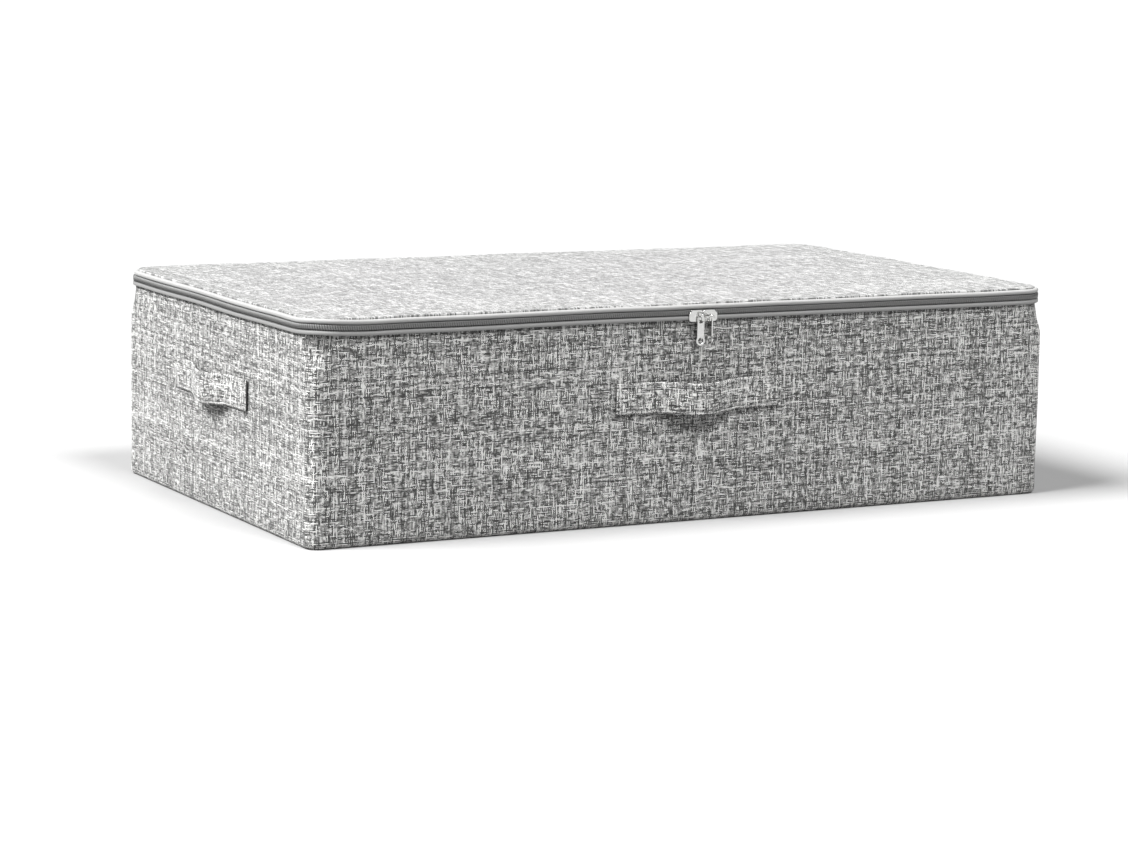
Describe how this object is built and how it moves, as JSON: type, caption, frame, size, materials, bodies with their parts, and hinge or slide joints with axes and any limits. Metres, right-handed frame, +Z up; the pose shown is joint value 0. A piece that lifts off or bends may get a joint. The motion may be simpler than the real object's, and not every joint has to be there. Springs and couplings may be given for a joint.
{
  "type": "under bed storage box",
  "caption": "Low rectangular fabric storage box with stiffened walls, a lid zipped round its front and sides, and webbing strap handles.",
  "frame": {"origin": "centre of the underside, on the floor", "axes": "+X along the long side, to the right when facing the zip pulls; front towards -Y; +Z up"},
  "size_m": [0.7234, 0.411, 0.18],
  "materials": {
    "linen": "matte",
    "tape": "matte",
    "coil": "satin",
    "nonwoven": "matte",
    "board": "matte",
    "nickel": "satin"
  },
  "bodies": {
    "box": {"base_cover": "nonwoven", "outer_sleeve": "linen", "front_board_left": "board", "front_board_right": "board", "back_board_left": "board", "back_board_right": "board", "left_board": "board", "right_board": "board", "floor_lining": "nonwoven", "wall_lining": "nonwoven", "rim_binding": "tape", "lower_zip_tape": "tape", "lower_zip_coil": "coil", "zip_end_tab_left": "tape", "zip_end_tab_right": "tape", "hinge_strip_lower": "tape", "front_handle": "linen", "left_handle": "linen", "right_handle": "linen"},
    "lid": {"lid_panel": "linen", "lid_board": "board", "lid_lining": "nonwoven", "lid_piping": "tape", "upper_zip_tape": "tape", "upper_zip_coil": "coil", "hinge_strip_upper": "tape"},
    "base_insert": {"base_board": "board", "base_board_cover": "nonwoven"},
    "slider_left": {"slider_left": "nickel"},
    "slider_right": {"slider_right": "nickel"},
    "pull_left": {"pull_left": "nickel"},
    "pull_right": {"pull_right": "nickel"}
  },
  "joints": [
    {"name": "lid_hinge", "type": "hinge", "parent": "box", "child": "lid", "pos_m": [0, 0.2003, 0.17115], "axis": [-1, 0, 0], "range_deg": [0, 175]},
    {"name": "base_board_lift", "type": "slide", "parent": "box", "child": "base_insert", "axis": [0, 0, 1], "range_m": [0, 0.125]},
    {"name": "slider_left_slide", "type": "slide", "parent": "box", "child": "slider_left", "axis": [-1, 0, 0], "range_m": [0, 0.305]},
    {"name": "slider_right_slide", "type": "slide", "parent": "box", "child": "slider_right", "axis": [1, 0, 0], "range_m": [0, 0.305]},
    {"name": "pull_left_swing", "type": "hinge", "parent": "slider_left", "child": "pull_left", "pos_m": [-0.0029, -0.2026, 0.17], "axis": [-1, 0, 0], "range_deg": [0, 175]},
    {"name": "pull_right_swing", "type": "hinge", "parent": "slider_right", "child": "pull_right", "pos_m": [0.0047, -0.2052, 0.17], "axis": [-1, 0, 0], "range_deg": [0, 175]}
  ]
}
